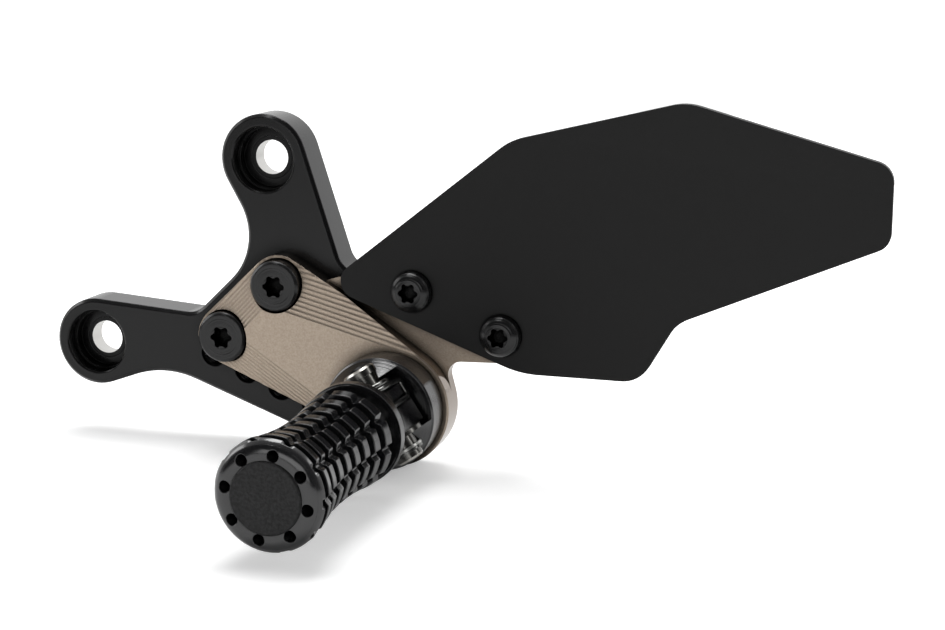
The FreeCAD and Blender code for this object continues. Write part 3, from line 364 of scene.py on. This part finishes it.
# peg body: turned side with a waist, bevelled rings, notches across them and a drilled dome, lengths in mm
pegShape = {"foot": 11.7, "waist": 10.4, "shoulder": 12.3, "neck": 9.5, "neckLong": 5.4, "domeStart": 46.2,
            "bow": (11.4, 49.0), "flat": 8.3, "long": 50.0, "well": 7.84, "seatDeep": 1.9, "seam": 11.1,
            "ringFirst": 8.15, "ringPitch": 5.55, "rings": 6, "ringGap": 2.85, "ringFloor": 8.6,
            "tipFirst": 41.45, "tipPitch": 4.3, "tips": 2, "tipGap": 1.9, "tipFloor": 10.7, "landSteps": 5,
            "notches": 10, "notchTilt": -36.0, "notchHalf": 1.2, "notchFloor": 0.2, "notchDeep": 1.0,
            "notchEnd": 48.5, "endWall": 0.02, "endRun": 0.4, "rimRun": 0.25, "lipShare": 0.03, "bevel": 0.14,
            "hole": 1.25, "holeRing": 9.12, "holes": 8, "holeTilt": 1.0, "holeDeep": 5.0, "holeCone": 0.6,
            "holeBevel": 0.12, "sideCounts": (20, 8, 14, 8), "blendStart": (0, 0.03), "blendFrom": 0.15,
            "blendSteps": 6, "seatSides": 96, "around": 8}
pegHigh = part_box("peg_body")[1]
pegCentre = (pegAxis[0][0] / mm, pegAxis[0][1] / mm)
pegStart = -pegHigh[1] / mm
waistCentre, waistRadius = arcThrough((pegShape["foot"], pegShape["neckLong"]),
                                      (pegShape["waist"], (pegShape["neckLong"] + pegShape["domeStart"]) / 2),
                                      (pegShape["shoulder"], pegShape["domeStart"]))
domeCentre, domeRadius = arcThrough((pegShape["shoulder"], pegShape["domeStart"]), pegShape["bow"],
                                    (pegShape["flat"], pegShape["long"]))


def pegPlace(radius, angle, along):
    # radius, angle in radians from the way the peg folds and length along the peg to the shared frame
    turn = angle + math.radians(pegTilt)
    radius, turn, along = np.broadcast_arrays(radius, turn, along)
    return np.stack((pegCentre[0] + radius * np.cos(turn), -pegStart - along,
                     pegCentre[1] + radius * np.sin(turn)), axis=-1) * mm


def pegEnvelope(along):
    # the waist's arc up to the dome, then the dome's own arc
    waist = waistCentre[0] - np.sqrt(waistRadius ** 2 - (along - waistCentre[1]) ** 2)
    dome = domeCentre[0] + np.sqrt(np.maximum(domeRadius ** 2 - (along - domeCentre[1]) ** 2, 0))
    return np.where(along < pegShape["domeStart"], waist, dome)


def domeHeight(radius):
    rise = domeCentre[1] + np.sqrt(domeRadius ** 2 - (np.maximum(radius, pegShape["flat"]) - domeCentre[0]) ** 2)
    return np.where(radius < pegShape["flat"], pegShape["long"], rise)


# the radius along the peg is the envelope, or the groove's floor between two lands; across a notch it sinks
# below the envelope by a straight slope to a narrow floor
def makePegSide():
    # every groove as its start, gap and floor
    s = pegShape
    grooves = [(s["ringFirst"] + s["ringPitch"] * step, s["ringGap"], s["ringFloor"]) for step in range(s["rings"])]
    grooves += [(s["tipFirst"] + s["tipPitch"] * step, s["tipGap"], s["tipFloor"]) for step in range(s["tips"])]
    along = [0.0, s["neckLong"]]
    height = [s["neck"], s["neck"]]
    landStart = s["neckLong"]
    for start, gap, floor in grooves:
        land = np.linspace(landStart + s["bevel"], start - s["bevel"], s["landSteps"])
        along += [landStart, *land, start, start, start + gap]
        height += [-s["bevel"], *np.zeros(s["landSteps"]), -s["bevel"], floor, floor]
        landStart = start + gap
    # the rim, up to the seam with the peg's end
    rim = [landStart, landStart + s["bevel"], s["notchEnd"] - s["endRun"], s["notchEnd"] - s["endWall"],
           s["notchEnd"], s["notchEnd"] + s["rimRun"], float(domeHeight(s["seam"]))]
    along = np.array(along + rim)
    height = np.array(height + [-s["bevel"]] + [0.0] * (len(rim) - 1))
    envelope = pegEnvelope(along)
    ringRadius = np.where(height > 0, height, envelope + height)
    notched = (along <= s["notchEnd"] - s["endWall"]).astype(float) * s["notchDeep"]
    # one notch and half of the land on each side of it, in steps of angle
    half = np.arcsin(s["notchHalf"] / envelope)
    lip = s["bevel"] / envelope
    flat = s["notchFloor"] / envelope
    pitch = 2 * np.pi / s["notches"]
    outer = np.linspace(0, 1, s["around"])[:-1]
    left = -pitch / 2 + outer[None, :] * (pitch / 2 - half - lip)[:, None]
    steps = np.stack((-half - lip, -half, -half + lip, -flat, flat, half - lip, half, half + lip), axis=1)
    right = -left[:, :0:-1]
    angle = np.concatenate((left, steps, right), axis=1)
    # how far each of the eight steps sinks, as shares of the notch's depth
    slopeShare = s["bevel"] / (s["notchHalf"] - s["notchFloor"])
    shares = np.array((0, s["lipShare"], slopeShare, 1, 1, slopeShare, s["lipShare"], 0))
    sink = np.zeros_like(angle)
    sink[:, left.shape[1]:left.shape[1] + len(shares)] = notched[:, None] * shares
    radius = np.minimum(ringRadius[:, None], envelope[:, None] - sink)
    sectors = math.radians(s["notchTilt"]) + pitch * np.arange(s["notches"])
    angle = (angle[:, None, :] + sectors[None, :, None]).reshape(len(along), -1)
    radius = np.tile(radius, (1, s["notches"]))
    return pegPlace(radius, angle, along[:, None])


# round each hole the surface is a straight blend from the hole's circle to the edge of its sector, laid on the
# dome, and the hole is a ring drawn down to a cone
def makePegEnd():
    s = pegShape
    half = np.pi / s["holes"]
    corners = np.array(((s["seam"], -half), (s["seam"], half), (s["well"], half), (s["well"], -half),
                        (s["seam"], -half)))
    edge = np.concatenate([corners[at] + (corners[at + 1] - corners[at]) * np.arange(count)[:, None] / count
                           for at, count in enumerate(s["sideCounts"])])
    edgeX = edge[:, 0] * np.cos(edge[:, 1]) - s["holeRing"]
    edgeY = edge[:, 0] * np.sin(edge[:, 1])
    spin = np.arctan2(edgeY, edgeX)
    reach = np.hypot(edgeX, edgeY)
    blend = np.concatenate((s["blendStart"], np.linspace(s["blendFrom"], 1, s["blendSteps"])))[:, None]
    lip = s["hole"] + s["holeBevel"]
    spread = lip + blend * (reach - lip)
    x = s["holeRing"] + spread * np.cos(spin)
    y = spread * np.sin(spin)
    top = np.stack((np.hypot(x, y), np.arctan2(y, x), domeHeight(np.hypot(x, y))))
    # the hole's lip, wall and drilled cone
    wallReach = np.array((lip, s["hole"], s["hole"], 0.0))[:, None]
    x = s["holeRing"] + wallReach * np.cos(spin)
    y = wallReach * np.sin(spin)
    lipHeight = domeHeight(np.hypot(x, y))
    deep = np.stack((lipHeight[0], lipHeight[1] - s["holeBevel"], 0 * spin + s["long"] - s["holeDeep"],
                     0 * spin + s["long"] - s["holeDeep"] - s["holeCone"]))
    down = np.stack((np.hypot(x, y), np.arctan2(y, x), deep))
    sheets = []
    for turn in math.radians(s["holeTilt"]) + 2 * half * np.arange(s["holes"]):
        sheets.append(pegPlace(top[0], top[1] + turn, top[2]))
        sheets.append(pegPlace(down[0], down[1] + turn, down[2])[::-1])
    # the wall of the plug's seat
    ring = np.linspace(0, 2 * np.pi, s["seatSides"], endpoint=False)[None, :]
    seatHeight = np.array((s["long"], s["long"] - s["seatDeep"]))[:, None]
    sheets.append(pegPlace(s["well"], -ring, seatHeight))
    return sheets


pegPiece = addPiece("peg_grip", [makePegSide()] + makePegEnd(), blackPeg, "peg")
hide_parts("peg_body")
print("peg ready:", len(pegPiece.data.polygons), "faces")

# thread in each spare tapped hole of the bracket, a ridge that winds down the wall, lengths in mm
tapShape = {"rowStarts": ((38.6, 5.2), (52.7, 18.6)), "pitch": 9.69, "tilt": -22.6, "rows": 4, "step": 8.4,
            "stepTilt": 46.5, "wall": 3.38, "crest": 2.95, "lead": 1.25, "front": 11.0, "deep": 10.0,
            "inset": 0.05, "turnSteps": 8, "steep": 1.3, "cutoff": 0.15, "around": 40}


def makeThreads():
    # the ridge is a rounded triangle wave over the depth plus the share of a turn
    s = tapShape
    angle = np.linspace(0, 2 * np.pi, s["around"], endpoint=False)[None, :]
    turns = int(s["deep"] / s["lead"])
    down = np.linspace(s["inset"], s["deep"] - s["inset"], turns * s["turnSteps"] + 1)[:, None]
    wave = np.abs(2 * ((down / s["lead"] + angle / (2 * np.pi)) % 1) - 1)
    ridge = np.clip(s["steep"] * wave - s["cutoff"], 0, 1)
    radius = s["crest"] + (s["wall"] - s["crest"]) * ridge
    along = math.radians(s["tilt"])
    back = math.radians(s["stepTilt"])
    sheets = []
    for startX, startZ in s["rowStarts"]:
        for row in (0, 1):
            # the first hole of each front row holds a screw of the carrier plate
            for step in range(1 - row, s["rows"]):
                x = startX + step * s["pitch"] * math.cos(along) - row * s["step"] * math.cos(back)
                z = startZ + step * s["pitch"] * math.sin(along) - row * s["step"] * math.sin(back)
                ring = np.broadcast_arrays(x + radius * np.cos(angle), down - s["front"], z + radius * np.sin(angle))
                sheets.append(np.stack(ring, axis=-1) * mm)
    return sheets


threads = addPiece("bracket_threads", makeThreads(), blackBracket, "bracket")
print("threads ready:", len(threads.data.polygons), "faces")

# floor, a pale sweep that fades to the photograph's plain white away from the peg, lengths in mm
floorLook = {"height": -24.3, "half": 900.0, "colour": "#f0f0f0", "near": 0.36, "far": 0.75,
             "middle": (35.0, -50.0), "fadeStart": 70.0, "fadeEnd": 165.0}
floorMesh = bpy.data.meshes.new("floor")
half = floorLook["half"] * mm
level = floorLook["height"] * mm
floorMesh.from_pydata([(-half, -half, level), (half, -half, level), (half, half, level),
                       (-half, half, level)], [], [(0, 1, 2, 3)])
floor = bpy.data.objects.new("floor", floorMesh)
bpy.context.scene.collection.objects.link(floor)
# matt white that takes a soft shadow
floorPaint, tree = startMaterial("white paper")
paper = addNode(tree, "ShaderNodeBsdfDiffuse", {"Color": linearColour(floorLook["colour"])})
seen = addNode(tree, "ShaderNodeLightPath")
away = addNode(tree, "ShaderNodeTexCoord")
reach = addNode(tree, "ShaderNodeVectorMath",
                {"operation": "DISTANCE", 1: (floorLook["middle"][0] * mm, floorLook["middle"][1] * mm, level)},
                {0: away.outputs["Object"]})
fade = addNode(tree, "ShaderNodeMapRange", {"interpolation_type": "SMOOTHSTEP",
                                            "From Min": floorLook["fadeStart"] * mm,
                                            "From Max": floorLook["fadeEnd"] * mm,
                                            "To Min": floorLook["near"], "To Max": floorLook["far"]},
               {"Value": reach.outputs["Value"]})
# painted light: the camera alone sees the floor lifted by a glow, weaker near the peg and stronger away from it, so
# that the shadow fades out away from the peg
lift = addNode(tree, "ShaderNodeMath", {"operation": "MULTIPLY"},
               {0: seen.outputs["Is Camera Ray"], 1: fade.outputs["Result"]})
bright = addNode(tree, "ShaderNodeEmission", {"Color": linearColour("#ffffff")},
                 {"Strength": lift.outputs["Value"]})
both = addNode(tree, "ShaderNodeAddShader", {}, {0: paper.outputs["BSDF"], 1: bright.outputs["Emission"]})
addNode(tree, "ShaderNodeOutputMaterial", {}, {"Surface": both.outputs["Shader"]})
floorMesh.materials.append(floorPaint)
print("floor ready")

# softboxes, each aimed at the middle of the object: place in metres, width, height and power in watts
softboxes = {
    "top softbox": ((0.0, 0.12, 0.78), 0.5, 0.34, 3.8),
    "left softbox": ((-0.85, -0.05, 0.4), 0.3, 0.5, 1.5),
    "right softbox": ((0.8, 0.1, 0.5), 0.25, 0.4, 0.9),
    "front softbox": ((0.08, -1.15, 0.28), 1.1, 0.5, 2.8),
}
objectMiddle = Vector((0.09, -0.03, 0.01))
for name, (spot, wide, high, power) in softboxes.items():
    data = bpy.data.lights.new(name, "AREA")
    data.shape = "RECTANGLE"
    data.size = wide
    data.size_y = high
    data.energy = power
    lamp = bpy.data.objects.new(name, data)
    lamp.location = spot
    lamp.rotation_euler = (objectMiddle - Vector(spot)).to_track_quat("-Z", "Y").to_euler()
    bpy.context.scene.collection.objects.link(lamp)

# the room: a lit white backdrop behind and around the table, dark on the camera's side
roomLook = {"front": 0.05, "back": 1.05, "frontEnd": -0.5, "backStart": 0.6, "seen": 1.1}
world = bpy.data.worlds.new("studio")
bpy.context.scene.world = world
world.use_nodes = True
world.node_tree.nodes.clear()
sky = world.node_tree
toward = addNode(sky, "ShaderNodeTexCoord")
depth = addNode(sky, "ShaderNodeSeparateXYZ", {}, {"Vector": toward.outputs["Generated"]})
wall = addNode(sky, "ShaderNodeMapRange",
               {"interpolation_type": "SMOOTHSTEP", "From Min": roomLook["frontEnd"],
                "From Max": roomLook["backStart"], "To Min": roomLook["front"], "To Max": roomLook["back"]},
               {"Value": depth.outputs["Y"]})
seen = addNode(sky, "ShaderNodeLightPath")
strength = addNode(sky, "ShaderNodeMix", {"B": roomLook["seen"]},
                   {"Factor": seen.outputs["Is Camera Ray"], "A": wall.outputs["Result"]})
glow = addNode(sky, "ShaderNodeBackground", {"Color": linearColour("#ffffff")},
               {"Strength": strength.outputs["Result"]})
addNode(sky, "ShaderNodeOutputWorld", {}, {"Surface": glow.outputs["Background"]})
print("lights ready")

print("scene ready")
